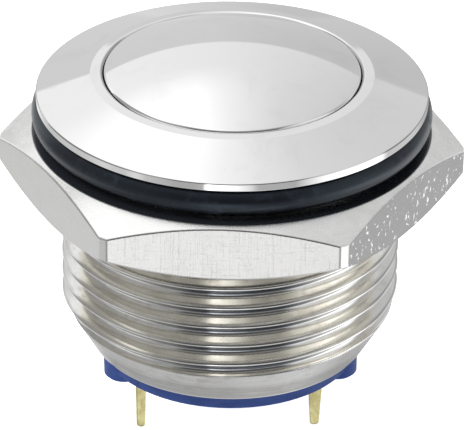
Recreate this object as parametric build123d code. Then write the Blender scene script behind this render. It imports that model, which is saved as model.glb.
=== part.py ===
from build123d import *
import os

os.makedirs("parts", exist_ok=True)

# Millimetres. The origin is the centre of the flange's underside, +Z points out
# through the button, and the two terminals stand along X.

# Clearances
slide_gap = 0.05
cap_gap = 0.1
base_gap = 0.05
stop_gap = 0.02
seat_gap = 0.05
ring_gap = 0.01
edge_tolerance = 0.0001

# Shank: M16 x 1, drawn at its crest radius
thread_crest_r = 7.94
shank_wall = 1.76
shank_end_wall = 0.44
shank_cone_top_z = -10.1
shank_end_z = -12.4
base_bore_r = thread_crest_r - shank_wall
shank_end_r = base_bore_r + shank_end_wall

# Head of the housing
flange_width = 1.16
head_r = thread_crest_r + flange_width
head_rim_height = 0.38
cap_bore_wall = 1.94
cap_bore_r = thread_crest_r - cap_bore_wall
cap_bore_chamfer = 0.14
ring_width = 0.56
ring_outer_r = cap_bore_r + ring_width
ring_z = 1.29

# Web that carries the stem
web_top_z = -3.2
web_thickness = 1.0
web_bottom_z = web_top_z - web_thickness

# Base, and the share of its radius that the pieces inside take
base_r = base_bore_r - base_gap
contact_share = 0.685
tip_share = 0.13
plunger_share = 0.49
clip_share = 0.475
foot_share = 0.4975
gasket_thickness = 0.5
gasket_width = 1.13
gasket_inner_r = base_r - gasket_width
base_top_z = web_bottom_z - gasket_thickness
base_bottom_z = -13.2

# Stem clip
clip_r = clip_share * base_r
clip_band_share = 0.25
clip_band_width = clip_band_share * clip_r
clip_band_r = clip_r - clip_band_width
clip_lug_share = 0.38
clip_lug_width = clip_lug_share * clip_r
clip_lug_angles = (90, 215, 325)
clip_mouth_share = 0.76
clip_mouth_width = clip_mouth_share * clip_r
clip_thickness = 0.4
clip_top_z = web_bottom_z - stop_gap
clip_bottom_z = clip_top_z - clip_thickness

# Button
travel = 1.5
cap_r = cap_bore_r - cap_gap
cap_proud = 0.1
cap_dome_height = 1.12
cap_dome_bands = 3
cap_edge_chamfer = 0.14
cap_edge_z = ring_z + cap_proud
cap_apex_z = cap_edge_z + cap_dome_height
cap_skirt_wall = 1.15
cap_skirt_inner_r = cap_r - cap_skirt_wall
cap_ceiling_z = 0.3
cap_skirt_bottom_z = web_top_z + travel + seat_gap
stem_clip_gap = 0.38
stem_r = clip_band_r - stem_clip_gap
clip_groove_depth = 0.35
clip_groove_r = stem_r - clip_groove_depth
stem_end = 0.25
stem_shoulder_z = clip_bottom_z - stem_end
spigot_share = 0.67
spigot_r = spigot_share * stem_r
spigot_length = 1.1

# Seal in the skirt
seal_section_r = 0.37
seal_section_sides = 6
seal_groove_depth = 0.7
seal_groove_r = cap_r - seal_groove_depth
seal_groove_play = 0.14
seal_groove_width = 2 * seal_section_r + seal_groove_play
seal_z = -0.75

# Return spring, half way between the stem and the skirt
return_spring_r = (cap_skirt_inner_r + stem_r) / 2
return_spring_wire_r = 0.2
return_spring_turns = 4
spring_sides_per_turn = 8
spring_wire_sides = 6

# Contacts
contact_x = contact_share * base_r
overtravel = 0.4
tip_r = tip_share * base_r
bridge_tip_height = 0.35
fixed_tip_height = 0.3

# Plunger and its window
plunger_r = plunger_share * base_r
plunger_top_z = stem_shoulder_z
plunger_bottom_z = -9.15
window_top_z = -6.5
window_bottom_z = -8.6
window_width = plunger_r

# Bridge and contact spring, both with room in the window
window_gap = 0.3
bridge_width = window_width - 2 * window_gap
bridge_half_length = contact_x + tip_r
bridge_thickness = 0.4
bridge_end_share = 0.33
bridge_rounding = bridge_end_share * bridge_width
contact_spring_wire_r = 0.12
contact_spring_turns = 4
contact_spring_r = window_width / 2 - window_gap - contact_spring_wire_r
nib_gap = 0.15
nib_r = contact_spring_r - contact_spring_wire_r - nib_gap
nib_height = 0.3
bridge_top_z = window_bottom_z + bridge_thickness
bridge_tip_z = window_bottom_z - bridge_tip_height
fixed_tip_z = bridge_tip_z - (travel - overtravel) - stop_gap

# Terminals
terminal_head_rim = 0.1
terminal_head_r = tip_r + terminal_head_rim
terminal_head_thickness = 0.4
terminal_head_z = fixed_tip_z - fixed_tip_height
anchor_width = 0.95
anchor_depth = 0.7
anchor_length = 1.43
pin_width = 0.64
pin_depth = 0.5
pin_tip_width = 0.42
pin_tip_depth = 0.42
pin_edge_chamfer = 0.12
pin_length = 4.8
pin_taper_length = 2.0
pin_tip_z = base_bottom_z - pin_length
pin_taper_z = pin_tip_z + pin_taper_length

# Room for them in the base
base_floor_z = terminal_head_z - terminal_head_thickness
anchor_bottom_z = base_floor_z - anchor_length
base_cavity_gap = 0.5
base_cavity_r = plunger_r + base_cavity_gap
channel_gap = 0.2
channel_width = bridge_width + 2 * channel_gap
channel_half_length = bridge_half_length + channel_gap

# Feet, clear of the pins
foot_height = 0.5
foot_top_z = shank_end_z - seat_gap
foot_bottom_z = base_bottom_z - foot_height
foot_pin_gap = 0.23
foot_inner_x = contact_x + pin_width / 2 + foot_pin_gap
foot_inset = 0.13
foot_outer_x = base_r - foot_inset
foot_width = foot_outer_x - foot_inner_x
foot_half_length = foot_share * base_r
foot_outer_share = 0.75
foot_outer_rounding = foot_outer_share * foot_width
foot_inner_share = 0.15
foot_inner_rounding = foot_inner_share * foot_width
foot_chamfer_share = 0.12
foot_edge_chamfer = foot_chamfer_share * foot_width

# Panel O-ring, a little wider than the flange
o_ring_bore_gap = 0.06
o_ring_overhang = 0.2
o_ring_inner_r = thread_crest_r + o_ring_bore_gap
o_ring_section_r = (head_r + o_ring_overhang - o_ring_inner_r) / 2
o_ring_section_sides = 8
o_ring_r = o_ring_inner_r + o_ring_section_r
o_ring_z = -(o_ring_section_r + ring_gap)

# Hexagon nut, at rest as the photograph shows it
nut_wall = 1.56
nut_across_flats = 2 * (thread_crest_r + nut_wall)
nut_corner_cut = 0.13
nut_corner_r = nut_across_flats / 3**0.5 - nut_corner_cut
nut_face_inset = 0.22
nut_face_r = nut_across_flats / 2 - nut_face_inset
nut_chamfer_drop = 0.82
nut_ring_gap = 0.28
nut_top_z = o_ring_z - o_ring_section_r - nut_ring_gap
nut_thickness = 2.8
nut_turn = -4.75
nut_bore_r = thread_crest_r + slide_gap
nut_bore_chamfer = 0.35


def turned(*profile):
    """Solid of revolution about Z from (radius, height) points."""
    return revolve(make_face(Plane.XZ * Polyline(*profile, close=True)), Axis.Z)


def ring(mean_r, height, section_r, section_sides):
    """Seal ring, its round section drawn with flat sides."""
    section = Pos(mean_r, height) * RegularPolygon(section_r, section_sides)
    return revolve(Plane.XZ * section, Axis.Z)


def circles(shape, radius, height):
    """Circular edges of the shape at one radius and height."""
    found = []
    for edge in shape.edges().filter_by(GeomType.CIRCLE):
        level = abs(edge.arc_center.Z - height) < edge_tolerance
        if level and abs(edge.radius - radius) < edge_tolerance:
            found.append(edge)
    return found


def spring(mean_r, wire_r, turns, bottom, top):
    """Compression spring with closed, ground ends, bent from short straight lengths."""
    wire = 2 * wire_r
    open_pitch = (top - bottom - 2 * wire) / (turns - 2)
    points = []
    level = bottom
    for i in range(turns * spring_sides_per_turn + 1):
        turn = i / spring_sides_per_turn
        points.append(Vector(mean_r, 0, level).rotate(Axis.Z, 360 * turn))
        level += (wire if turn < 1 or turn >= turns - 1 else open_pitch) / spring_sides_per_turn
    path = Polyline(*points)
    section = Plane(path @ 0, z_dir=path % 0) * RegularPolygon(wire_r, spring_wire_sides)
    coil = sweep(section, path=path, transition=Transition.RIGHT)
    outer = mean_r + wire
    return coil & Pos(0, 0, (bottom + top) / 2) * Box(2 * outer, 2 * outer, top - bottom)


# Housing
housing = turned(
    (stem_r + slide_gap, web_bottom_z),
    (base_bore_r, web_bottom_z),
    (base_bore_r, shank_end_z),
    (shank_end_r, shank_end_z),
    (thread_crest_r, shank_cone_top_z),
    (thread_crest_r, 0),
    (head_r, 0),
    (head_r, head_rim_height),
    (ring_outer_r, ring_z),
    (cap_bore_r, ring_z),
    (cap_bore_r, web_top_z),
    (stem_r + slide_gap, web_top_z),
)
housing = chamfer(circles(housing, cap_bore_r, ring_z), cap_bore_chamfer)
export_step(housing, "parts/housing.step")


# Button cap, with its stem in the same piece
dome_r = (cap_r**2 + cap_dome_height**2) / (2 * cap_dome_height)
dome_centre_z = cap_apex_z - dome_r
dome_points = []
for i in range(cap_dome_bands + 1):
    dome_point_r = cap_r * i / cap_dome_bands
    dome_points.append((dome_point_r, dome_centre_z + (dome_r**2 - dome_point_r**2) ** 0.5))
groove_top_z = seal_z + seal_groove_width / 2
groove_bottom_z = seal_z - seal_groove_width / 2
button_cap = turned(
    *dome_points,
    (cap_r, groove_top_z),
    (seal_groove_r, groove_top_z),
    (seal_groove_r, groove_bottom_z),
    (cap_r, groove_bottom_z),
    (cap_r, cap_skirt_bottom_z),
    (cap_skirt_inner_r, cap_skirt_bottom_z),
    (cap_skirt_inner_r, cap_ceiling_z),
    (stem_r, cap_ceiling_z),
    (stem_r, clip_top_z),
    (clip_groove_r, clip_top_z),
    (clip_groove_r, clip_bottom_z),
    (stem_r, clip_bottom_z),
    (stem_r, stem_shoulder_z),
    (spigot_r, stem_shoulder_z),
    (spigot_r, stem_shoulder_z - spigot_length),
    (0, stem_shoulder_z - spigot_length),
)
button_cap = chamfer(circles(button_cap, cap_r, cap_edge_z), cap_edge_chamfer)
export_step(button_cap, "parts/button_cap.step")

seal_r = seal_groove_r + ring_gap + seal_section_r
button_seal = ring(seal_r, seal_z, seal_section_r, seal_section_sides)
export_step(button_seal, "parts/button_seal.step")

# Stem clip: an open ring with three lugs in the stem's groove
clip = Circle(clip_r) - Circle(clip_band_r)
clip_bore_r = clip_groove_r + ring_gap
clip_middle_r = (clip_band_r + clip_r) / 2
for angle in clip_lug_angles:
    clip += Rot(0, 0, angle) * Pos(clip_middle_r / 2, 0) * Rectangle(clip_middle_r, clip_lug_width)
clip -= Circle(clip_bore_r)
clip -= Pos(0, -clip_r) * Rectangle(clip_mouth_width, 2 * clip_r)
stem_clip = Pos(0, 0, clip_bottom_z) * extrude(clip, clip_thickness)
export_step(stem_clip, "parts/stem_clip.step")

return_spring = spring(
    return_spring_r, return_spring_wire_r, return_spring_turns, web_top_z, cap_ceiling_z
)
export_step(return_spring, "parts/return_spring.step")

# Plunger: the bridge lies across its window, under the contact spring
plunger = turned(
    (0, plunger_bottom_z),
    (plunger_r, plunger_bottom_z),
    (plunger_r, plunger_top_z),
    (spigot_r, plunger_top_z),
    (spigot_r, plunger_top_z - spigot_length),
    (0, plunger_top_z - spigot_length),
)
window_height = window_top_z - window_bottom_z
plunger -= Pos(0, 0, window_bottom_z + window_height / 2) * Box(
    2 * plunger_r, window_width, window_height
)
plunger += Pos(0, 0, window_top_z - nib_height / 2) * Cylinder(nib_r, nib_height)
export_step(plunger, "parts/plunger.step")

contact_spring = spring(
    contact_spring_r, contact_spring_wire_r, contact_spring_turns, bridge_top_z, window_top_z
)
export_step(contact_spring, "parts/contact_spring.step")

# Bridge and the four contact tips
bridge_outline = RectangleRounded(2 * bridge_half_length, bridge_width, bridge_rounding)
contact_bridge = Pos(0, 0, window_bottom_z) * extrude(bridge_outline, bridge_thickness)
contact_bridge += Pos(0, 0, bridge_top_z + nib_height / 2) * Cylinder(nib_r, nib_height)
export_step(contact_bridge, "parts/contact_bridge.step")

for side, sign in (("left", -1), ("right", 1)):
    bridge_tip = Pos(0, 0, bridge_tip_z + bridge_tip_height / 2) * Cylinder(tip_r, bridge_tip_height)
    export_step(Pos(sign * contact_x, 0, 0) * bridge_tip, f"parts/bridge_contact_{side}.step")

    fixed_tip = Pos(0, 0, fixed_tip_z - fixed_tip_height / 2) * Cylinder(tip_r, fixed_tip_height)
    export_step(Pos(sign * contact_x, 0, 0) * fixed_tip, f"parts/fixed_contact_{side}.step")

# Terminals: a head, a wide anchor in the base and a pin, the left one a quarter turn on
head_middle_z = terminal_head_z - terminal_head_thickness / 2
anchor = Pos(0, 0, anchor_bottom_z + anchor_length / 2) * Box(anchor_width, anchor_depth, anchor_length)
pin = loft(
    [
        Pos(0, 0, anchor_bottom_z) * Rectangle(pin_width, pin_depth),
        Pos(0, 0, pin_taper_z) * Rectangle(pin_width, pin_depth),
        Pos(0, 0, pin_tip_z) * Rectangle(pin_tip_width, pin_tip_depth),
    ],
    ruled=True,
)
pin = chamfer(pin.faces().sort_by(Axis.Z)[0].edges(), pin_edge_chamfer)
stake = anchor + pin
stakes = {
    "left": Pos(-contact_x, 0, 0) * Rot(0, 0, 90) * stake,
    "right": Pos(contact_x, 0, 0) * stake,
}
terminal_head = Pos(0, 0, head_middle_z) * Cylinder(terminal_head_r, terminal_head_thickness)
for side, sign in (("left", -1), ("right", 1)):
    terminal = stakes[side] + Pos(sign * contact_x, 0, 0) * terminal_head
    export_step(terminal, f"parts/terminal_{side}.step")

# Base: a cup with a channel for the bridge, and two feet underneath
base = turned(
    (0, base_bottom_z),
    (base_r, base_bottom_z),
    (base_r, base_top_z),
    (base_cavity_r, base_top_z),
    (base_cavity_r, base_floor_z),
    (0, base_floor_z),
)
channel_height = base_top_z - base_floor_z
base -= Pos(0, 0, base_floor_z + channel_height / 2) * Box(
    2 * channel_half_length, channel_width, channel_height
)
foot = Pos(foot_outer_x - foot_width / 2, 0) * Rectangle(foot_width, 2 * foot_half_length)
foot = fillet(foot.vertices().group_by(Axis.X)[-1], foot_outer_rounding)
foot = fillet(foot.vertices().group_by(Axis.X)[0], foot_inner_rounding)
foot = extrude(Pos(0, 0, foot_bottom_z) * foot, foot_top_z - foot_bottom_z)
foot = chamfer(foot.faces().sort_by(Axis.Z)[0].edges(), foot_edge_chamfer)
base += foot
base += Rot(0, 0, 180) * foot
base -= stakes["left"]
base -= stakes["right"]
export_step(base, "parts/base.step")

base_gasket = turned(
    (gasket_inner_r, base_top_z),
    (base_r, base_top_z),
    (base_r, web_bottom_z),
    (gasket_inner_r, web_bottom_z),
)
export_step(base_gasket, "parts/base_gasket.step")

panel_o_ring = ring(o_ring_r, o_ring_z, o_ring_section_r, o_ring_section_sides)
export_step(panel_o_ring, "parts/panel_o_ring.step")

# Hexagon nut, chamfered on both faces
nut_bottom_z = nut_top_z - nut_thickness
hexagon = RegularPolygon(nut_across_flats / 2, 6, major_radius=False)
hex_nut = Pos(0, 0, nut_bottom_z) * extrude(Rot(0, 0, nut_turn) * hexagon, nut_thickness)
hex_nut &= turned(
    (0, nut_bottom_z),
    (nut_face_r, nut_bottom_z),
    (nut_corner_r, nut_bottom_z + nut_chamfer_drop),
    (nut_corner_r, nut_top_z - nut_chamfer_drop),
    (nut_face_r, nut_top_z),
    (0, nut_top_z),
)
hex_nut -= turned(
    (0, nut_bottom_z),
    (nut_bore_r + nut_bore_chamfer, nut_bottom_z),
    (nut_bore_r, nut_bottom_z + nut_bore_chamfer),
    (nut_bore_r, nut_top_z - nut_bore_chamfer),
    (nut_bore_r + nut_bore_chamfer, nut_top_z),
    (0, nut_top_z),
)
export_step(hex_nut, "parts/hex_nut.step")
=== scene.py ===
import math

import bmesh
import bpy
import numpy as np
from mathutils import Matrix, Vector


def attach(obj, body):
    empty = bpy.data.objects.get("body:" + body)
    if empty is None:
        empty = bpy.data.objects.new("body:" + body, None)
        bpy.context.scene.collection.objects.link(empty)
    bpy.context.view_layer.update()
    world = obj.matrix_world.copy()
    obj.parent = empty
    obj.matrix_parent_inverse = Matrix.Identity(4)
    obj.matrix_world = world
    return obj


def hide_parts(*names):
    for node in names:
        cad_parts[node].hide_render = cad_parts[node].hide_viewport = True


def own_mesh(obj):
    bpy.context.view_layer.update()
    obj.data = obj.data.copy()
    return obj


# Anti vandal push button. The pieces are turned and cut in mesh code round the packed
# solids, in the same frame: origin under the flange, +Z out through the button.

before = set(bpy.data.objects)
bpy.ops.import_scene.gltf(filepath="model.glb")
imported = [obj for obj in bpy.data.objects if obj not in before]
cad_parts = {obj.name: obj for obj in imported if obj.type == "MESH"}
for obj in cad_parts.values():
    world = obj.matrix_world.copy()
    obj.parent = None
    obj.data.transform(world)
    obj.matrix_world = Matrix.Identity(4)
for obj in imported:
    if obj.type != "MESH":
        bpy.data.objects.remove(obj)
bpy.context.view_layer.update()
mm = 0.001
print("solids loaded:", len(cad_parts))


# mesh tools: places in millimetres, with each corner's normal worked out exactly

def unit(v):
    length = math.sqrt(sum(c * c for c in v)) or 1.0
    return tuple(c / length for c in v)


def arc(r, z, radius, start, end, steps):
    # outline points from one angle to another, with their normals
    points = []
    for k in range(steps + 1):
        a = start + (end - start) * k / steps
        n = (math.cos(a), math.sin(a))
        points.append((r + radius * n[0], z + radius * n[1], *n))
    return points


def softOutline(corners, closed=False, arcSteps=5):
    # corners are (radius, height, rounding); gives points with their outline normals
    count = len(corners)
    points = []
    for i, corner in enumerate(corners):
        r, z = corner[0], corner[1]
        rounding = corner[2] if len(corner) > 2 else 0
        if not closed and i in (0, count - 1):
            other = corners[1] if i == 0 else corners[i - 1]
            d = unit((other[0] - r, other[1] - z) if i == 0 else (r - other[0], z - other[1]))
            points.append((r, z, d[1], -d[0]))
            continue
        before, after = corners[i - 1], corners[(i + 1) % count]
        a = unit((before[0] - r, before[1] - z))
        b = unit((after[0] - r, after[1] - z))
        normalIn, normalOut = (-a[1], a[0]), (b[1], -b[0])
        dot = max(-1.0, min(1.0, a[0] * b[0] + a[1] * b[1]))
        half = math.acos(dot) / 2
        if rounding <= 0 or half > math.radians(89):  # sharp, or as good as straight
            points.append((r, z, *normalIn))
            points.append((r, z, *normalOut))
            continue
        reach = rounding / math.tan(half)
        middle = unit((a[0] + b[0], a[1] + b[1]))
        away = rounding / math.sin(half)
        centre = (r + middle[0] * away, z + middle[1] * away)
        start = (r + a[0] * reach - centre[0], z + a[1] * reach - centre[1])
        end = (r + b[0] * reach - centre[0], z + b[1] * reach - centre[1])
        angleA, angleB = math.atan2(start[1], start[0]), math.atan2(end[1], end[0])
        turn = (angleB - angleA + math.pi) % (2 * math.pi) - math.pi
        hollow = normalIn[0] * start[0] + normalIn[1] * start[1] < 0
        for k in range(arcSteps + 1):
            angle = angleA + turn * k / arcSteps
            c, s = math.cos(angle), math.sin(angle)
            n = (-c, -s) if hollow else (c, s)
            points.append((centre[0] + rounding * c, centre[1] + rounding * s, *n))
    return points


def added(name, data):
    obj = bpy.data.objects.new(name, data)
    bpy.context.collection.objects.link(obj)
    return obj


class Shape:
    # gathers faces, welds what lies together and keeps each corner's own normal

    def __init__(self):
        self.places, self.points, self.faces = {}, [], []

    def point(self, p):
        key = tuple(round(c * 1e4) for c in p)  # points within a ten-thousandth of a millimetre are one
        if key not in self.places:
            self.places[key] = len(self.points)
            self.points.append(p)
        return self.places[key]

    def face(self, corners, finish=0):
        loop = []
        for i, n in corners:
            if i not in [known for known, _ in loop]:
                loop.append((i, n))
        if len(loop) > 2:
            self.faces.append((loop, finish))

    def grid(self, rows, finish=0, wrap=True):
        # rows of (point, normal); wrap joins the end of each row to its start
        marks = [[(self.point(p), n) for p, n in row] for row in rows]
        for low, high in zip(marks, marks[1:]):
            count = len(low)
            for j in range(count if wrap else count - 1):
                k = (j + 1) % count
                self.face((low[j], low[k], high[k], high[j]), finish)

    def build(self, name, finishes):
        mesh = bpy.data.meshes.new(name)
        loops = [[i for i, _ in loop] for loop, _ in self.faces]
        mesh.from_pydata([[c * mm for c in p] for p in self.points], [], loops)
        for i, (_, finish) in enumerate(self.faces):
            mesh.polygons[i].material_index = finish
        for finish in finishes:
            mesh.materials.append(finish)
        mesh.shade_smooth()
        mesh.normals_split_custom_set([unit(n) for loop, _ in self.faces for _, n in loop])
        return added(name, mesh)


def turned(shape, outline, columns=192, closed=False):
    # outline runs so that the solid lies on its left: up the outside, down the bore
    rows = []
    for r, z, nr, nz in outline:
        row = []
        for j in range(columns):
            angle = 2 * math.pi * j / columns
            c, s = math.cos(angle), math.sin(angle)
            row.append(((r * c, r * s, z), (nr * c, nr * s, nz)))
        rows.append(row)
    if closed:
        rows.append(rows[0])
    shape.grid(rows)


def tube(shape, path, radius, low, high, sides=14):
    # wire along a list of points, ground flat below low and above high
    rows = []
    for i, p in enumerate(path):
        ahead = Vector(path[min(i + 1, len(path) - 1)]) - Vector(path[max(i - 1, 0)])
        ahead.normalize()
        out = Vector((p[0], p[1], 0)).normalized()
        up = ahead.cross(out).normalized()
        if up.z < 0:
            up = -up
        row = []
        for j in range(sides):
            angle = 2 * math.pi * j / sides
            n = out * math.cos(angle) + up * math.sin(angle)
            q = Vector(p) + n * radius
            if q.z < low:
                q.z, n = low, Vector((0, 0, -1))
            if q.z > high:
                q.z, n = high, Vector((0, 0, 1))
            row.append((tuple(q), tuple(n)))
        rows.append(row)
    shape.grid([row[::-1] for row in rows])
    for row, flip in ((rows[0], False), (rows[-1], True)):
        marks = [(shape.point(p), (0, 0, 1)) for p, _ in row]
        shape.face(marks[::-1] if flip else marks)


def coil(name, finish, spec):
    # compression spring with closed, ground ends
    wire = 2 * spec["wireR"]
    turns, bottom, top = spec["turns"], spec["bottom"], spec["top"]
    openPitch = (top - bottom - 2 * wire) / (turns - 2)
    steps = spec["stepsPerTurn"]
    path, level = [], bottom
    for i in range(turns * steps + 1):
        turn = i / steps
        angle = 2 * math.pi * turn
        path.append((spec["meanR"] * math.cos(angle), spec["meanR"] * math.sin(angle), level))
        level += (wire if turn < 1 or turn >= turns - 1 else openPitch) / steps
    shape = Shape()
    tube(shape, path, spec["wireR"], bottom, top)
    return shape.build(name, [finish])


def flattened(work, mesh, flatAngle, sharpAngle):
    # joins faces that lie flat together and keeps the edges past sharpAngle sharp, in degrees
    bmesh.ops.dissolve_limit(work, angle_limit=math.radians(flatAngle), verts=work.verts, edges=work.edges)
    for edge in work.edges:
        edge.smooth = edge.calc_face_angle(0) < math.radians(sharpAngle)
    for face in work.faces:
        face.smooth = True
    work.to_mesh(mesh)
    work.free()


def rounded(obj, width, angle):
    # bevels every edge sharper than angle, in degrees
    bevel = obj.modifiers.new("edges", "BEVEL")
    bevel.width = width * mm
    bevel.segments = 3
    bevel.limit_method = "ANGLE"
    bevel.angle_limit = math.radians(angle)
    bevel.harden_normals = True
    return obj


def softened(name, node, finish, width, angle):
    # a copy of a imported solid, its flat faces joined and its edges rounded
    obj = added(name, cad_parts[node].data.copy())
    work = bmesh.new()
    work.from_mesh(obj.data)
    bmesh.ops.remove_doubles(work, verts=work.verts, dist=1e-4 * mm)
    flattened(work, obj.data, flatAngle=0.5, sharpAngle=angle)
    obj.data.materials.clear()
    obj.data.materials.append(finish)
    return rounded(obj, width, angle)


def placed(obj, body, slot, *nodes):
    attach(obj, body)
    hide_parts(*nodes)
    return obj


# shader tools

class Value:
    # a node's output that takes part in arithmetic

    def __init__(self, owner, socket):
        self.owner, self.socket = owner, socket

    def __add__(self, other):
        return self.owner.maths("ADD", self, other)

    def __sub__(self, other):
        return self.owner.maths("SUBTRACT", self, other)

    def __mul__(self, other):
        return self.owner.maths("MULTIPLY", self, other)

    def __radd__(self, other):
        return self.owner.maths("ADD", other, self)

    def __rsub__(self, other):
        return self.owner.maths("SUBTRACT", other, self)

    def __rmul__(self, other):
        return self.owner.maths("MULTIPLY", other, self)


class Nodes:
    # one node tree; node() makes any node from its type, settings and sockets

    def __init__(self, tree):
        self.tree = tree
        tree.nodes.clear()

    def node(self, kind, settings=None, sockets=None, out=0):
        made = self.tree.nodes.new(kind)
        for key, value in (settings or {}).items():
            if key == "points":
                line = made.mapping.curves[0].points
                while len(line) < len(value):
                    line.new(0.5, 0.5)
                for point, place in zip(line, value):
                    point.location = place
                    point.handle_type = "VECTOR"
                made.mapping.update()
            else:
                setattr(made, key, value)
        for key, value in (sockets or {}).items():
            if isinstance(value, Value):
                self.tree.links.new(value.socket, made.inputs[key])
            else:
                made.inputs[key].default_value = value
        return Value(self, made.outputs[out]) if len(made.outputs) else made

    def maths(self, operation, *values):
        return self.node("ShaderNodeMath", {"operation": operation}, dict(enumerate(values)))

    def place(self, scale=(1, 1, 1)):
        # object place in millimetres, stretched by scale
        where = self.node("ShaderNodeTexCoord", out="Object")
        return self.node("ShaderNodeMapping", {}, {"Vector": where, "Scale": tuple(s / mm for s in scale)})

    def parts(self, vector):
        split = self.node("ShaderNodeSeparateXYZ", {}, {"Vector": vector})
        return [Value(self, split.socket.node.outputs[i]) for i in range(3)]

    def fromAxis(self, x, y):
        return self.maths("SQRT", x * x + y * y)

    def normal(self):
        return self.parts(self.node("ShaderNodeNewGeometry", out="Normal"))

    def noise(self, vector, scale, detail=2.0, roughness=0.5, distortion=0.0):
        sockets = {"Vector": vector, "Scale": scale, "Detail": detail, "Roughness": roughness,
                   "Distortion": distortion}
        return self.node("ShaderNodeTexNoise", {}, sockets)

    def spread(self, value, low, high, toLow=0.0, toHigh=1.0, smooth=True):
        settings = {"interpolation_type": "SMOOTHSTEP" if smooth else "LINEAR", "clamp": True}
        sockets = {0: value, 1: low, 2: high, 3: toLow, 4: toHigh}
        return self.node("ShaderNodeMapRange", settings, sockets)

    def patches(self, vector, noise, limits):
        # noise cut between two limits
        return self.spread(self.noise(vector, *noise), *limits)

    def curve(self, value, points, low=-1.0, high=1.0, top=2.0):
        # straight lines through (value, level) points, levels up to top
        scaled = [((x - low) / (high - low), y / top) for x, y in points]
        share = self.spread(value, low, high, smooth=False)
        return self.node("ShaderNodeFloatCurve", {"points": scaled}, {"Value": share}) * top

    def mix(self, factor, first, second):
        sockets = {0: factor, 6: first, 7: second}
        return self.node("ShaderNodeMix", {"data_type": "RGBA"}, sockets, out=2)

    def bump(self, height, distance):
        return self.node("ShaderNodeBump", {}, {"Height": height, "Distance": distance * mm})


def finish(name, paint):
    # paint gives the shader's sockets for one finish
    material = bpy.data.materials.new(name)
    material.use_nodes = True
    nodes = Nodes(material.node_tree)
    shader = nodes.node("ShaderNodeBsdfPrincipled", {}, paint(nodes))
    nodes.node("ShaderNodeOutputMaterial", {}, {"Surface": shader})
    return material


def tint(colour):
    return (*colour, 1)


# finishes; noises are (scale, detail, roughness, distortion), other pairs are limits to spread over

mirrorLook = {
    "colour": (0.87, 0.87, 0.87),
    "smudge": (0.80, 0.80, 0.795),
    "smudgeNoise": (0.45, 4.0, 0.6, 0.6), "smudgeFrom": (0.52, 0.74), "smudgeShare": 0.6,
    "speckNoise": (9.0, 3.0, 0.7), "speckFrom": (0.70, 0.80), "speckShare": 0.25,
    "sideShade": (0.37, 0.37, 0.37),  # painted shade: the head's edge and the ring's inner edge, darker at left and right
    "edgeR": (9.03, 9.08), "edgeLeft": (-4.5, -5.3), "edgeRight": (6.3, 6.8), "edgeLeftShare": 0.72,
    "innerR": (6.13, 6.05), "boreR": (5.952, 5.97), "innerZ": (1.1, 1.2),
    "innerLeft": (-4.7, -5.3), "innerRight": (5.3, 5.7), "innerShare": 0.85,
    "roughness": 0.035, "smudgeRoughness": 0.11,
    "latheMarks": 14.0, "markDepth": 0.00025,
}


def mirrorNickel(nodes):
    look = mirrorLook
    place = nodes.place()
    x, y, z = nodes.parts(place)
    radius = nodes.fromAxis(x, y)
    smudge = nodes.patches(place, look["smudgeNoise"], look["smudgeFrom"])
    specks = nodes.patches(place, look["speckNoise"], look["speckFrom"])
    spoiled = smudge * look["smudgeShare"] + specks * look["speckShare"]
    plate = nodes.mix(spoiled, tint(look["colour"]), tint(look["smudge"]))
    # painted shade: darker reflections on the head's edge and the ring's inner edge, at the left and right
    # sides only
    edge = nodes.spread(x, *look["edgeLeft"]) * look["edgeLeftShare"] + nodes.spread(x, *look["edgeRight"])
    edge = nodes.spread(radius, *look["edgeR"]) * edge
    inner = nodes.spread(radius, *look["innerR"]) * nodes.spread(radius, *look["boreR"])
    inner = inner * nodes.spread(z, *look["innerZ"]) * look["innerShare"]
    inner = inner * (nodes.spread(x, *look["innerLeft"]) + nodes.spread(x, *look["innerRight"]))
    marks = {"W": radius + z, "Scale": look["latheMarks"], "Detail": 2.0}
    rings = nodes.node("ShaderNodeTexNoise", {"noise_dimensions": "1D"}, marks)
    return {
        "Base Color": nodes.mix(edge + inner, plate, tint(look["sideShade"])),
        "Metallic": 1.0,
        "Roughness": look["roughness"] + smudge * (look["smudgeRoughness"] - look["roughness"]),
        "Normal": nodes.bump(rings, look["markDepth"]),
    }


nutLook = {
    "light": (0.66, 0.66, 0.655), "dark": (0.56, 0.555, 0.55),  # rolled flats
    # painted shade: the flats that face right get a much darker colour
    "shadedRightFlat": (0.25, 0.25, 0.25),
    "faceLight": (0.96, 0.96, 0.955), "faceDark": (0.80, 0.795, 0.785),  # turned top and bottom
    "front": (-0.55, -0.85), "right": (0.50, 0.70), "face": (0.25, 0.5), "top": (0.9, 0.98),  # facing
    # painted highlight: the rounded corner between the front and right flats, picked by its facing
    "cornerFrom": (0.34, 0.40), "cornerTo": (0.52, 0.46),
    "uprightStretch": (12.0, 12.0, 0.16), "uprightNoise": (2.0, 4.0, 0.7, 0.05),
    "uprightScores": (0.56, 0.66),
    "levelStretch": (0.5, 0.5, 11.0), "levelNoise": (1.6, 4.0, 0.7, 0.1), "levelScores": (0.58, 0.68),
    "sideScores": 0.25, "scoreShare": 0.09,
    "cloudNoise": (1.1, 4.0, 0.6, 0.4), "tone": (0.36, 0.64), "toneShare": 0.8,
    "fleck": (0.90, 0.90, 0.90),
    "fleckStretch": (1.5, 1.5, 1.0), "fleckNoise": (3.2, 3.0, 0.6, 0.2), "fleckFrom": (0.61, 0.66),
    # painted reflection and shade of the O-ring on the nut's top face, next to the ring
    "ringShade": (0.020, 0.023, 0.029), "ringShadeR": (9.58, 9.50), "ringShadeNoise": (5.0, 4.0, 0.7), "ringShadeSwing": 0.5,
    "roughness": 0.30, "fleckRoughness": 0.55, "toneGloss": 0.08,
    "markDepth": 0.003,
}


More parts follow.
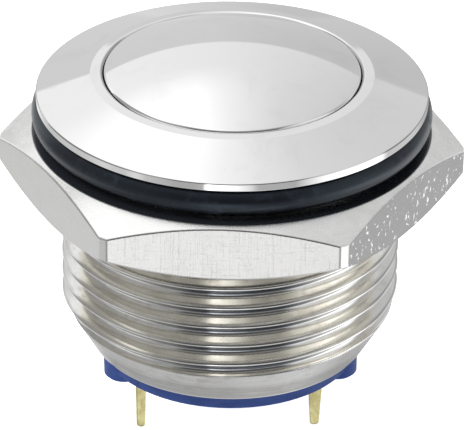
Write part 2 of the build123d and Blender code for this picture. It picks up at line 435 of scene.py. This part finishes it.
def nutNickel(nodes):
    look = nutLook
    place = nodes.place()
    x, y, _ = nodes.parts(place)
    right, back, up = nodes.normal()
    isFront = nodes.spread(back, *look["front"])
    isRight = nodes.spread(right, *look["right"])
    cornerHighlight = nodes.spread(right, *look["cornerFrom"]) * nodes.spread(right, *look["cornerTo"])
    isFace = nodes.spread(nodes.maths("ABSOLUTE", up), *look["face"])
    upright = nodes.noise(nodes.place(look["uprightStretch"]), *look["uprightNoise"])
    level = nodes.noise(nodes.place(look["levelStretch"]), *look["levelNoise"])
    clouds = nodes.noise(place, *look["cloudNoise"])
    flecks = nodes.patches(nodes.place(look["fleckStretch"]), look["fleckNoise"], look["fleckFrom"])
    flecks = flecks * isRight * (1.0 - isFace)
    scores = nodes.spread(upright, *look["uprightScores"]) + nodes.spread(level, *look["levelScores"])
    scores = scores * (look["sideScores"] + isFront * (1 - look["sideScores"])) * (1.0 - isFace)
    tone = nodes.spread(clouds * 0.5 + upright * 0.3 + level * 0.2, *look["tone"])
    flats = nodes.mix(tone * look["toneShare"], tint(look["light"]), tint(look["dark"]))
    # painted shade on the flats that face right
    flats = nodes.mix(isRight, flats, tint(look["shadedRightFlat"]))
    # painted highlight on that corner's rounding
    flats = nodes.mix(cornerHighlight, flats, tint(look["faceLight"]))
    faces = nodes.mix(tone * look["toneShare"], tint(look["faceLight"]), tint(look["faceDark"]))
    plate = nodes.mix(isFace, flats, faces)
    plate = nodes.mix(scores * look["scoreShare"], plate, tint(look["dark"]))
    # painted reflection and shade of the O-ring: dark and less metallic near the ring, with a ragged edge
    ragged = (nodes.noise(place, *look["ringShadeNoise"]) - 0.5) * look["ringShadeSwing"]
    ringShade = nodes.spread(nodes.fromAxis(x, y) + ragged, *look["ringShadeR"]) * nodes.spread(up, *look["top"])
    plate = nodes.mix(ringShade, plate, tint(look["ringShade"]))
    rough = look["roughness"] + flecks * (look["fleckRoughness"] - look["roughness"])
    return {
        "Base Color": nodes.mix(flecks, plate, tint(look["fleck"])),
        "Metallic": 1.0 - ringShade,
        "Roughness": rough - tone * look["toneGloss"],
        "Normal": nodes.bump(upright * 0.6 + level * 0.4 - scores * 0.3 + flecks * 0.8, look["markDepth"]),
    }


rubberLook = {
    "colour": (0.005, 0.006, 0.008),
    "dust": (0.016, 0.019, 0.026), "dustNoise": (1.2, 4.0, 0.65, 0.5), "dustFrom": (0.50, 0.76),
    "sheen": (0.66, 0.82, 1.0),
    "roughness": 0.30, "dustRoughness": 0.48,
    "grainNoise": (12.0, 3.0, 0.6), "grainDepth": 0.004,
}


def blackRubber(nodes):
    look = rubberLook
    place = nodes.place()
    dust = nodes.patches(place, look["dustNoise"], look["dustFrom"])
    return {
        "Base Color": nodes.mix(dust, tint(look["colour"]), tint(look["dust"])),
        "Roughness": look["roughness"] + dust * (look["dustRoughness"] - look["roughness"]),
        "Specular IOR Level": 0.5,
        "Specular Tint": tint(look["sheen"]),
        "Normal": nodes.bump(nodes.noise(place, *look["grainNoise"]), look["grainDepth"]),
    }


plasticLook = {
    "grainNoise": (16.0, 2.0, 0.55),
    "cloudNoise": (0.9, 4.0, 0.6, 0.4), "cloudFrom": (0.36, 0.68), "cloudDull": 0.10,
    "blue": {
        "colour": (0.026, 0.056, 0.200), "shade": (0.020, 0.044, 0.165),
        "roughness": 0.45, "grainDepth": 0.014, "shine": 0.15, "waxy": 0.0,
    },
    "white": {
        "colour": (0.78, 0.77, 0.73), "shade": (0.70, 0.69, 0.65),
        "roughness": 0.38, "grainDepth": 0.004, "shine": 0.5, "waxy": 0.25,
    },
}


def plastic(kind):
    def paint(nodes):
        look, own = plasticLook, plasticLook[kind]
        place = nodes.place()
        clouds = nodes.patches(place, look["cloudNoise"], look["cloudFrom"])
        return {
            "Base Color": nodes.mix(clouds, tint(own["colour"]), tint(own["shade"])),
            "Roughness": own["roughness"] + clouds * look["cloudDull"],
            "Specular IOR Level": own["shine"],
            "Subsurface Weight": own["waxy"],
            "Subsurface Radius": (0.6 * mm, 0.6 * mm, 0.5 * mm),
            "Subsurface Scale": 1.0,
            "Normal": nodes.bump(nodes.noise(place, *look["grainNoise"]), own["grainDepth"]),
        }
    return paint


metalLook = {
    "lineNoise": (2.5, 4.0, 0.65, 0.1), "cloudNoise": (1.6, 4.0, 0.6, 0.5),
    "tone": (0.38, 0.64), "toneDull": 0.12,
    "speckNoise": (8.0, 2.0, 0.6), "speckFrom": (0.64, 0.76),
    "steel": {
        "light": (0.62, 0.62, 0.63), "dark": (0.44, 0.44, 0.45),
        "roughness": 0.22, "stretch": (1, 1, 1), "markDepth": 0.0012,
    },
    "copper": {
        "light": (0.80, 0.50, 0.29), "dark": (0.64, 0.37, 0.20),
        "roughness": 0.26, "stretch": (0.4, 5, 5), "markDepth": 0.0012,
    },
    "silver": {
        "light": (0.86, 0.85, 0.82), "dark": (0.70, 0.69, 0.66),
        "roughness": 0.30, "stretch": (1, 1, 1), "markDepth": 0.0012,
    },
    "gold": {
        "light": (0.70, 0.65, 0.34), "dark": (0.46, 0.40, 0.17),
        "roughness": 0.26, "stretch": (5, 5, 0.8), "markDepth": 0.004,
    },
}


def drawnMetal(kind):
    def paint(nodes):
        look, own = metalLook, metalLook[kind]
        place = nodes.place()
        lines = nodes.noise(nodes.place(own["stretch"]), *look["lineNoise"])
        clouds = nodes.noise(place, *look["cloudNoise"])
        specks = nodes.patches(place, look["speckNoise"], look["speckFrom"])
        tone = nodes.spread(lines * 0.45 + clouds * 0.55, *look["tone"])
        return {
            "Base Color": nodes.mix(tone * 0.8 + specks * 0.2, tint(own["light"]), tint(own["dark"])),
            "Metallic": 1.0,
            "Roughness": own["roughness"] + tone * look["toneDull"],
            "Normal": nodes.bump(lines + specks * 0.5, own["markDepth"]),
        }
    return paint


polishedHead = finish("polished head", mirrorNickel)
polishedCap = finish("polished cap", mirrorNickel)
machinedNut = finish("machined nut", nutNickel)
rubber = finish("black rubber", blackRubber)
bluePlastic = finish("blue plastic", plastic("blue"))
whitePlastic = finish("white plastic", plastic("white"))
springSteel = finish("spring steel", drawnMetal("steel"))
copperAlloy = finish("copper alloy", drawnMetal("copper"))
contactSilver = finish("contact silver", drawnMetal("silver"))
paleGold = finish("pale gold", drawnMetal("gold"))
print("finishes made:", len(bpy.data.materials))


# housing: polished head, threaded shank and the web that carries the stem

housing = {  # pairs are (radius, height)
    "columns": 192,
    "crestR": 7.94, "pitch": 1.0, "crestFlat": 0.125, "crestRounding": 0.10, "rootRounding": 0.24,
    "crestAt": 0.492,  # height of a crest's centre at angle 0, within one pitch
    "threadTop": -1.0, "threadBottom": -12.3, "runOut": 0.9, "runOutFade": 0.8,
    "coneTop": (7.94, -10.1), "coneEnd": (6.62, -12.4), "coneRounding": 0.03,
    "rowsPerPitch": 12,
    "headR": 9.1, "headEdgeZ": 0.38, "ringOuter": (6.56, 1.28), "ringInnerZ": 1.341, "ringRounding": 0.17,
    "boreR": 5.975, "webTop": -3.2, "webBottom": -4.2, "stemHoleR": 1.85, "baseBoreR": 6.18,
}

coneSlope = (housing["coneTop"][0] - housing["coneEnd"][0]) / (housing["coneTop"][1] - housing["coneEnd"][1])
coneLowR = housing["coneEnd"][0] + coneSlope * (housing["threadBottom"] - housing["coneEnd"][1])

threadLook = {
    "plate": (0.80, 0.80, 0.795),
    # painted reflection: a warm tint on the faces that look up, away from the thread's ends
    "warmReflection": (0.75, 0.72, 0.635), "warmReflectionLeft": (-7.25, -6.95), "warmReflectionRight": (6.9, 6.1),
    "shelf": (0.35, 0.85),  # faces that look up
    "onThread": (0.01, 0.05),  # distance inside the end cone
    "shadow": (0.115, 0.13, 0.155),  # painted shade in the groove under each crest, and painted dark reflection on each crest's upper rounding
    "underFrom": (0.22, 0.05), "underTo": (-0.84, -0.74), "underR": (7.93, 7.86),
    "lipFrom": (0.10, 0.20), "lipTo": (0.86, 0.80), "lipR": (7.80, 7.86), "lipShare": 0.5,
    "grooveShadeLeft": (-4.7, -1.2, 0.1, 1.0), "grooveShadeRight": (5.9, 1.9, 0.1, 1.0),
    "stain": (0.42, 0.38, 0.31), "stainNoise": (0.9, 5.0, 0.62, 0.8),
    "worn": (0.46, 0.68), "wornShare": 0.35,
    "streakStretch": (0.3, 0.3, 5.0), "streakNoise": (1.6, 3.0, 0.6),
    "speckNoise": (7.0, 3.0, 0.65), "speckFrom": (0.64, 0.76), "speckLeast": 0.2, "speckShare": 0.5,
    # painted shade: the crests darker towards the thread's left and right ends
    "shadedCrest": (0.50, 0.50, 0.50), "crestShadeR": (7.82, 7.88),
    "crestShadeRight": (6.0, 6.8), "crestShadeLeft": (-7.3, -7.6), "crestShadeLeftShare": 0.6,
    # painted shade: the end cone darker towards its bottom
    "cone": (0.80, 0.80, 0.795), "coneLow": (0.58, 0.58, 0.575), "coneShadeZ": (-11.15, -11.75),
    "brushed": (1.0, 1.0, 1.0), "brushedStretch": (0.16, 0.16, 4.5), "brushedNoise": (2.0, 4.0, 0.7, 0.3),
    "brushedFrom": (0.50, 0.72), "brushedShare": 0.5,
    "roughness": 0.10, "coneRoughness": 0.22, "wornDull": 0.12, "shelfDull": 0.06, "speckDull": 0.1,
    "markDepth": 0.0008,
}


def threadNickel(nodes):
    look = threadLook
    place = nodes.place()
    x, y, z = nodes.parts(place)
    radius = nodes.fromAxis(x, y)
    facing = nodes.normal()[2]
    offCone = housing["coneEnd"][0] + coneSlope * (z - housing["coneEnd"][1]) - radius
    onThread = nodes.spread(offCone, *look["onThread"])
    # painted shade under each crest and painted dark reflection on the crest's upper rounding, fading out
    # towards both ends of the thread
    under = nodes.spread(facing, *look["underFrom"]) * nodes.spread(facing, *look["underTo"])
    under = under * nodes.spread(radius, *look["underR"])
    lip = nodes.spread(facing, *look["lipFrom"]) * nodes.spread(facing, *look["lipTo"])
    lip = lip * nodes.spread(radius, *look["lipR"])
    grooveShade = (under + lip * look["lipShare"]) * onThread
    grooveShade = grooveShade * nodes.spread(x, *look["grooveShadeLeft"]) * nodes.spread(x, *look["grooveShadeRight"])
    shelf = nodes.spread(facing, *look["shelf"])
    # painted warm reflection on the upward flanks
    warmReflection = shelf * nodes.spread(x, *look["warmReflectionLeft"]) * nodes.spread(x, *look["warmReflectionRight"])
    stains = nodes.noise(place, *look["stainNoise"])
    streaks = nodes.noise(nodes.place(look["streakStretch"]), *look["streakNoise"])
    worn = nodes.spread(stains * 0.6 + streaks * 0.4, *look["worn"])
    specks = nodes.patches(place, look["speckNoise"], look["speckFrom"])
    specks = specks * (look["speckLeast"] + shelf * (1 - look["speckLeast"]))
    brushed = nodes.patches(nodes.place(look["brushedStretch"]), look["brushedNoise"], look["brushedFrom"])
    # painted shade towards the bottom of the end cone
    cone = nodes.mix(nodes.spread(z, *look["coneShadeZ"]), tint(look["cone"]), tint(look["coneLow"]))
    cone = nodes.mix(brushed * look["brushedShare"], cone, tint(look["brushed"]))
    plate = nodes.mix(onThread, cone, tint(look["plate"]))
    plate = nodes.mix(warmReflection, plate, tint(look["warmReflection"]))
    # painted shade on the crests near both ends of the thread
    crestShade = nodes.spread(x, *look["crestShadeRight"]) + nodes.spread(x, *look["crestShadeLeft"]) * look["crestShadeLeftShare"]
    crestShade = crestShade * nodes.spread(radius, *look["crestShadeR"]) * onThread
    plate = nodes.mix(crestShade, plate, tint(look["shadedCrest"]))
    plate = nodes.mix(worn * look["wornShare"] + specks * look["speckShare"], plate, tint(look["stain"]))
    rough = look["coneRoughness"] + onThread * (look["roughness"] - look["coneRoughness"])
    rough = rough + worn * look["wornDull"] + shelf * look["shelfDull"] + specks * look["speckDull"]
    return {
        "Base Color": nodes.mix(grooveShade, plate, tint(look["shadow"])),
        "Metallic": 1.0,
        "Roughness": rough,
        "Normal": nodes.bump(streaks + specks * 0.4, look["markDepth"]),
    }


warmThread = finish("warm thread", threadNickel)

headOutline = softOutline([
    (housing["crestR"], housing["threadTop"]),
    (housing["crestR"], 0, 0.05),
    (housing["headR"], 0, 0.05),
    (housing["headR"], housing["headEdgeZ"], 0.07),
    (*housing["ringOuter"], 0.25),
    (housing["boreR"], housing["ringInnerZ"], housing["ringRounding"]),
    (housing["boreR"], housing["webTop"], 0.1),
    (housing["stemHoleR"], housing["webTop"], 0.05),
    (housing["stemHoleR"], housing["webBottom"], 0.05),
    (housing["baseBoreR"], housing["webBottom"], 0.1),
    (housing["baseBoreR"], housing["coneEnd"][1], 0.05),
    (*housing["coneEnd"], 0.08),
    (coneLowR, housing["threadBottom"]),
])


def blendedLeast(first, second, blend):
    # the smaller of two radii, with a soft corner where they meet
    soft = np.maximum(blend - np.abs(first - second), 0) ** 2 / (4 * blend)
    return np.minimum(first, second) - soft


def threadRadius(angle, z):
    # crest, 60 degree flanks and round root, cut by the end cone and run out at the top
    h = housing
    halfFlat = h["crestFlat"] / 2
    along = (z - h["pitch"] * angle / (2 * math.pi) - h["crestAt"]) % h["pitch"]
    away = np.minimum(along, h["pitch"] - along)
    flank = math.sqrt(3)
    sharpRoot = h["crestR"] - (h["pitch"] / 2 - halfFlat) * flank
    root = h["rootRounding"]
    toRoot = h["pitch"] / 2 - away
    roundRoot = sharpRoot + 2 * root - np.sqrt(np.maximum(root**2 - np.minimum(toRoot, root) ** 2, 0))
    straight = h["crestR"] - (away - halfFlat) * flank
    r = np.where(toRoot < root * math.cos(math.radians(30)), roundRoot, straight)
    r = blendedLeast(r, h["crestR"], h["crestRounding"])
    fade = np.clip((z - (h["threadTop"] - h["runOut"])) / (h["runOutFade"] * h["runOut"]), 0, 1)
    fade = fade * fade * (3 - 2 * fade)
    r = r + (h["crestR"] - r) * fade
    cone = h["coneEnd"][0] + coneSlope * (z - h["coneEnd"][1])
    return blendedLeast(r, cone, h["coneRounding"])


def threadRows():
    h = housing
    step = h["pitch"] / h["rowsPerPitch"]
    first = math.floor((h["threadBottom"] - 2 * h["pitch"]) / h["pitch"]) * h["rowsPerPitch"]
    last = math.ceil((h["threadTop"] + h["pitch"]) / h["pitch"]) * h["rowsPerPitch"]
    columns = h["columns"]
    angle = 2 * math.pi * np.arange(columns + 1) / columns
    small = 1e-4  # step over which the surface's slopes are measured
    rows = []
    for k in range(first, last + 1):
        z = k * step + h["crestAt"] + h["pitch"] * angle / (2 * math.pi)
        z = np.clip(z, h["threadBottom"], h["threadTop"])
        r = threadRadius(angle, z)
        r = np.where(z >= h["threadTop"], h["crestR"], np.where(z <= h["threadBottom"], coneLowR, r))
        dz = (threadRadius(angle, z + small) - threadRadius(angle, z - small)) / (2 * small)
        da = (threadRadius(angle + small, z) - threadRadius(angle - small, z)) / (2 * small)
        row = []
        for a, zz, rr, slope, turn in zip(angle, z, r, dz, da):
            c, s = math.cos(a), math.sin(a)
            across = -turn / rr
            row.append(((rr * c, rr * s, zz), (c - across * s, s + across * c, -slope)))
        rows.append(row)
    return rows


shape = Shape()
turned(shape, headOutline, housing["columns"])
shape.grid(threadRows(), finish=1, wrap=False)
placed(shape.build("housing_finish", [polishedHead, warmThread]), "frame", "polished_nickel", "housing")
print("housing cut:", len(shape.faces), "faces")


# button cap, with its skirt and stem

cap = {  # grooves are (bottom, top)
    "r": 5.95, "edgeZ": 1.34, "apexZ": 2.47, "edgeRounding": 0.14,
    "columns": 192, "edgeSteps": 6, "domeSteps": 28,
    "skirtInnerR": 4.75, "skirtBottom": -1.65, "ceilingZ": 0.3,
    "sealGroove": (-1.19, -0.31), "sealGrooveR": 5.2,
    "stemR": 1.8, "stemBottom": -4.87, "clipGroove": (-4.62, -4.22), "clipGrooveR": 1.454,
    "tailR": 1.2, "tailBottom": -5.97,  # the end that carries the plunger
}


def domedCap():
    c = cap
    rise = c["apexZ"] - c["edgeZ"]
    domeR = (c["r"] ** 2 + rise**2) / (2 * rise)
    middleZ = c["apexZ"] - domeR
    edgeR = c["r"] - c["edgeRounding"]
    edgeZ = middleZ + math.sqrt((domeR - c["edgeRounding"]) ** 2 - edgeR**2)
    start = math.atan2(edgeZ - middleZ, edgeR)
    lower = softOutline([
        (0, c["tailBottom"]),
        (c["tailR"], c["tailBottom"], 0.1),
        (c["tailR"], c["stemBottom"]),
        (c["stemR"], c["stemBottom"], 0.05),
        (c["stemR"], c["clipGroove"][0]),
        (c["clipGrooveR"], c["clipGroove"][0]),
        (c["clipGrooveR"], c["clipGroove"][1]),
        (c["stemR"], c["clipGroove"][1]),
        (c["stemR"], c["ceilingZ"], 0.15),
        (c["skirtInnerR"], c["ceilingZ"], 0.2),
        (c["skirtInnerR"], c["skirtBottom"], 0.08),
        (c["r"], c["skirtBottom"], 0.1),
        (c["r"], c["sealGroove"][0], 0.04),
        (c["sealGrooveR"], c["sealGroove"][0]),
        (c["sealGrooveR"], c["sealGroove"][1]),
        (c["r"], c["sealGroove"][1], 0.04),
        (c["r"], edgeZ),
    ])
    edge = arc(edgeR, edgeZ, c["edgeRounding"], 0, start, c["edgeSteps"])
    dome = arc(0, middleZ, domeR, start, math.pi / 2, c["domeSteps"])
    return lower[:-1] + edge + dome[1:]


shape = Shape()
turned(shape, domedCap(), cap["columns"])
placed(shape.build("button_cap_finish", [polishedCap]), "button", "cap_nickel", "button_cap")
print("button cap turned:", len(shape.faces), "faces")


# rubber: panel ring, button seal and base gasket

rings = {
    "panel_o_ring": {"meanR": 8.65, "z": -0.66, "sectionR": 0.65, "body": "frame"},
    "button_seal": {"meanR": 5.58, "z": -0.75, "sectionR": 0.365, "body": "button"},
}
ringSteps = 40  # round the section

for name, spec in rings.items():
    section = arc(spec["meanR"], spec["z"], spec["sectionR"], 0, 2 * math.pi, ringSteps)
    shape = Shape()
    turned(shape, section[:-1], closed=True)
    placed(shape.build(name + "_finish", [rubber]), spec["body"], "black_rubber", name)

gasket = {"innerR": 5.0, "outerR": 6.13, "bottom": -4.7, "top": -4.2, "rounding": 0.08}

shape = Shape()
turned(shape, softOutline([
    (gasket["innerR"], gasket["bottom"], gasket["rounding"]),
    (gasket["outerR"], gasket["bottom"], gasket["rounding"]),
    (gasket["outerR"], gasket["top"], gasket["rounding"]),
    (gasket["innerR"], gasket["top"], gasket["rounding"]),
], closed=True), closed=True)
placed(shape.build("base_gasket_finish", [rubber]), "frame", "black_rubber", "base_gasket")
print("rings and gasket turned")


# hexagon nut

nut = {  # turn and sharpAngle are in degrees
    "acrossFlats": 19.0, "cornerR": 10.84, "faceR": 9.28, "chamferDrop": 0.82,
    "top": -1.6, "bottom": -4.4, "turn": -4.75,
    "boreR": 7.99, "boreChamfer": 0.35, "edgeRounding": 0.07, "sharpAngle": 16, "stepsPerFlat": 30,
}


def nutColumns():
    # angle and side radius of each column, with columns on every corner's two edges
    flat = nut["acrossFlats"] / 2
    cornerHalf = math.acos(flat / nut["cornerR"])
    columns = []
    for side in range(6):
        middle = math.radians(nut["turn"] + 30 + 60 * side)
        angles = [cornerHalf * (2 * k / nut["stepsPerFlat"] - 1) for k in range(nut["stepsPerFlat"] + 1)]
        columns += [(middle + a, flat / math.cos(a)) for a in angles]
        columns.append((middle + math.radians(30), nut["cornerR"]))
    return columns


def hexagonNut(name):
    n = nut
    slope = n["chamferDrop"] / (n["cornerR"] - n["faceR"])
    work = bmesh.new()
    columns = []
    for angle, sideR in nutColumns():
        c, s = math.cos(angle), math.sin(angle)
        drop = (sideR - n["faceR"]) * slope
        wide = n["boreR"] + n["boreChamfer"]
        ring = [
            (wide, n["bottom"]), (n["faceR"], n["bottom"]), (sideR, n["bottom"] + drop),
            (sideR, n["top"] - drop), (n["faceR"], n["top"]), (wide, n["top"]),
            (n["boreR"], n["top"] - n["boreChamfer"]), (n["boreR"], n["bottom"] + n["boreChamfer"]),
        ]
        columns.append([work.verts.new((r * c * mm, r * s * mm, z * mm)) for r, z in ring])
    for j, column in enumerate(columns):
        after = columns[(j + 1) % len(columns)]
        for k in range(len(column)):
            up = (k + 1) % len(column)
            work.faces.new((column[k], after[k], after[up], column[up]))
    mesh = bpy.data.meshes.new(name)
    flattened(work, mesh, flatAngle=0.2, sharpAngle=n["sharpAngle"])
    mesh.materials.append(machinedNut)
    return rounded(added(name, mesh), n["edgeRounding"], n["sharpAngle"])


placed(hexagonNut("hex_nut_finish"), "nut", "machined_nickel", "hex_nut")
print("nut cut")


# base, terminals and the moving contact

# node, finish, body, slot, width of its rounded edges, angle past which they are rounded
pieces = [
    ("base", bluePlastic, "frame", "blue_plastic", 0.07, 30),
    ("terminal_left", paleGold, "frame", "pale_gold", 0.11, 25),
    ("terminal_right", paleGold, "frame", "pale_gold", 0.11, 25),
    ("plunger", whitePlastic, "button", "white_plastic", 0.05, 30),
    ("stem_clip", springSteel, "button", "spring_steel", 0.03, 30),
    ("contact_bridge", copperAlloy, "bridge", "copper_alloy", 0.04, 30),
    ("bridge_contact_left", contactSilver, "bridge", "contact_silver", 0.05, 30),
    ("bridge_contact_right", contactSilver, "bridge", "contact_silver", 0.05, 30),
    ("fixed_contact_left", contactSilver, "frame", "contact_silver", 0.05, 30),
    ("fixed_contact_right", contactSilver, "frame", "contact_silver", 0.05, 30),
]

for node, look, body, slot, width, angle in pieces:
    placed(softened(node + "_finish", node, look, width, angle), body, slot, node)
print("base, terminals and contacts dressed")


# springs; the real ones flatten as the button goes down, these are wound once as listed

springs = {
    "return_spring": {
        "meanR": 3.277, "wireR": 0.2, "turns": 4, "bottom": -3.2, "top": 0.3, "stepsPerTurn": 48,
        "body": "frame", "joint": "button_press", "anchor": -3.2, "pressed": 1.97,
    },
    "contact_spring": {
        "meanR": 1.082, "wireR": 0.12, "turns": 4, "bottom": -8.2, "top": -6.5, "stepsPerTurn": 36,
        "body": "button", "joint": "contact_overtravel", "anchor": -6.5, "pressed": 1.3,
    },
}

for name, spec in springs.items():
    wire = placed(coil(name + "_finish", springSteel, spec), spec["body"], "spring_steel", name)
    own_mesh(wire)
print("springs wound")


# floor, light and surroundings

studio = {  # floorZ in millimetres, the other places and sizes in metres
    "floorZ": -18.05, "floorSize": 4.0, "floorColour": (0.93, 0.93, 0.93), "floorShade": (0.90, 0.90, 0.90),
    "floorNoise": (0.05, 2.0), "floorGlow": 0.80,
    "lampPlace": (-0.22, -0.14, 0.30), "lampSize": 0.22, "lampPower": 1.1,
}


def paleFloor(nodes):
    clouds = nodes.noise(nodes.place(), *studio["floorNoise"])
    return {
        "Base Color": nodes.mix(clouds * 0.2, tint(studio["floorColour"]), tint(studio["floorShade"])),
        "Roughness": 0.9,
        "Emission Color": tint((1.0, 1.0, 1.0)),
        "Emission Strength": studio["floorGlow"],
    }


bpy.ops.mesh.primitive_plane_add(size=studio["floorSize"], location=(0, 0, studio["floorZ"] * mm))
floor = bpy.context.object
floor.name = "floor"
floor.visible_glossy = False
floor.data.materials.append(finish("pale floor", paleFloor))

lampData = bpy.data.lights.new("softbox", "AREA")
lampData.size = studio["lampSize"]
lampData.energy = studio["lampPower"]
lamp = added("softbox", lampData)
lamp.location = studio["lampPlace"]
lamp.rotation_euler = (-Vector(studio["lampPlace"])).to_track_quat("-Z", "Y").to_euler()
lamp.visible_glossy = False

# lists are (X or Y of the direction looked in, level of light), and pairs are where one
# zone passes into the next, along the X, Y or Z of that direction
room = {
    "plain": 1.0,  # what the camera sees
    "spot": [(-0.34, 1.25), (-0.1, 1.2), (0.0, 1.02), (0.14, 0.86), (0.22, 0.78), (0.34, 0.73)],
    "ceiling": [(-0.34, 0.98), (0.0, 0.90), (0.34, 0.74)],
    "wall": [
        (-1, 0.95), (-0.88, 1.0), (-0.8, 1.2), (-0.7, 1.15), (-0.5, 0.75), (-0.34, 0.70), (0.0, 0.69),
        (0.16, 0.62), (0.34, 0.58), (0.6, 0.66), (0.77, 0.76), (0.86, 0.90), (0.89, 0.85), (0.91, 0.46),
        (1, 0.46),
    ],
    "ceilingZ": (0.36, 0.38), "spotZ": (0.58, 0.82),
    "cornerX": (-0.47, -0.51), "cornerY": (0.60, 0.56), "cornerZ": (0.80, 0.74), "cornerShade": 0.66,
    "card": [
        (-1, 0.42), (-0.88, 0.38), (-0.64, 0.34), (-0.54, 0.09), (0.55, 0.09), (0.66, 0.75), (0.9, 0.82),
        (1, 1.3),
    ],
    "frontY": (0.12, -0.12), "cardTopZ": (0.98, 0.92), "cardBottomZ": (-0.15, -0.11),
    "cardLift": 0.28, "cardLiftZ": (0.40, 0.90),
    "lowFront": [
        (-1, 1.2), (-0.87, 1.25), (-0.70, 0.58), (-0.50, 0.44), (-0.36, 0.44), (-0.285, 0.50), (-0.265, 1.3),
        (-0.24, 2.25), (-0.15, 1.75), (0.03, 1.1), (0.13, 0.82), (0.2, 0.48), (0.50, 0.46), (0.61, 0.85),
        (0.73, 1.25), (0.83, 1.75), (0.91, 2.4), (1, 2.4),
    ],
    "lowBack": [
        (-1, 1.15), (-0.62, 0.92), (-0.5, 1.02), (-0.3, 1.2), (-0.12, 0.9), (0.08, 0.58), (0.3, 0.56),
        (0.5, 0.82), (0.65, 1.25), (0.8, 1.4), (1, 1.45),
    ],
    "leftX": (-0.60, -0.80), "leftZ": (-0.46, -0.40), "leftShade": 0.58,
    "rightX": (0.90, 0.95), "rightZ": (-0.22, -0.18), "rightShade": 0.6,
    "floorLeft": [(0, 0.56), (0.3, 0.56), (0.43, 0.52), (0.76, 0.50), (1, 0.55)],
    "floorRight": [
        (0, 0.62), (0.06, 0.57), (0.15, 0.70), (0.25, 0.80), (0.37, 0.62), (0.5, 0.50), (0.7, 0.45),
        (1, 0.45),
    ],
    "floorX": (0.0, 0.12), "floorZ": (-0.56, -0.72),
}


def passed(first, second, share):
    # from the first level to the second
    return first + share * (second - first)


def roomLight(nodes):
    # what the polished faces reflect: bright ceiling, grey wall behind, dark card in front
    x, y, z = nodes.parts(nodes.node("ShaderNodeTexCoord", out="Generated"))
    wall, ceiling, spot = (nodes.curve(x, room[part]) for part in ("wall", "ceiling", "spot"))
    ceiling = passed(ceiling, spot, nodes.spread(z, *room["spotZ"]))
    corner = nodes.spread(x, *room["cornerX"]) * nodes.spread(y, *room["cornerY"])
    corner = corner * nodes.spread(z, *room["cornerZ"]) * room["cornerShade"]
    upper = passed(wall, ceiling, nodes.spread(z, *room["ceilingZ"])) * (1.0 - corner)
    isFront = nodes.spread(y, *room["frontY"])
    card = nodes.curve(x, room["card"]) + nodes.spread(z, *room["cardLiftZ"]) * room["cardLift"]
    upper = passed(upper, card, isFront * nodes.spread(z, *room["cardTopZ"]))
    lower = passed(nodes.curve(x, room["lowBack"]), nodes.curve(x, room["lowFront"], top=3.0), isFront)
    for side in ("left", "right"):
        shade = nodes.spread(z, *room[side + "Z"]) * nodes.spread(x, *room[side + "X"]) * room[side + "Shade"]
        lower = lower * (1.0 - shade)
    floorLeft, floorRight = nodes.curve(y, room["floorLeft"]), nodes.curve(y, room["floorRight"])
    ground = passed(floorLeft, floorRight, nodes.spread(x, *room["floorX"]))
    lower = passed(lower, ground, nodes.spread(z, *room["floorZ"]))
    return passed(lower, upper, nodes.spread(z, *room["cardBottomZ"]))


world = bpy.data.worlds.new("studio room")
world.use_nodes = True
bpy.context.scene.world = world
nodes = Nodes(world.node_tree)
seen = nodes.node("ShaderNodeLightPath", out="Is Camera Ray")
light = roomLight(nodes)
shown = passed(light, room["plain"], seen)
glow = nodes.node("ShaderNodeBackground", {}, {"Color": shown, "Strength": 1.0})
nodes.node("ShaderNodeOutputWorld", {}, {"Surface": glow})
print("floor, lamp and room made")


# camera

view = {  # millimetres and degrees
    "target": (0, 0, -6.317), "distance": 193.8, "azimuth": -3.0, "elevation": 29.526, "roll": 0.846,
    "sideways": 0.19, "lens": 316, "sensor": 36,
}

cameraData = bpy.data.cameras.new("camera")
cameraData.lens = view["lens"]
cameraData.sensor_width = view["sensor"]
cameraData.clip_start = 0.01
cameraData.clip_end = 10
camera = added("camera", cameraData)
azimuth, elevation = math.radians(view["azimuth"]), math.radians(view["elevation"])
level = math.cos(elevation)
back = Vector((level * math.sin(azimuth), -level * math.cos(azimuth), math.sin(elevation)))
roll = Matrix.Rotation(math.radians(view["roll"]), 3, "Z")
turnToTarget = (-back).to_track_quat("-Z", "Y").to_matrix() @ roll
right = turnToTarget @ Vector((1, 0, 0))
camera.location = (Vector(view["target"]) + back * view["distance"] + right * view["sideways"]) * mm
camera.rotation_euler = turnToTarget.to_euler()
bpy.context.scene.camera = camera
bpy.context.scene.view_settings.view_transform = "Standard"
print("camera set")
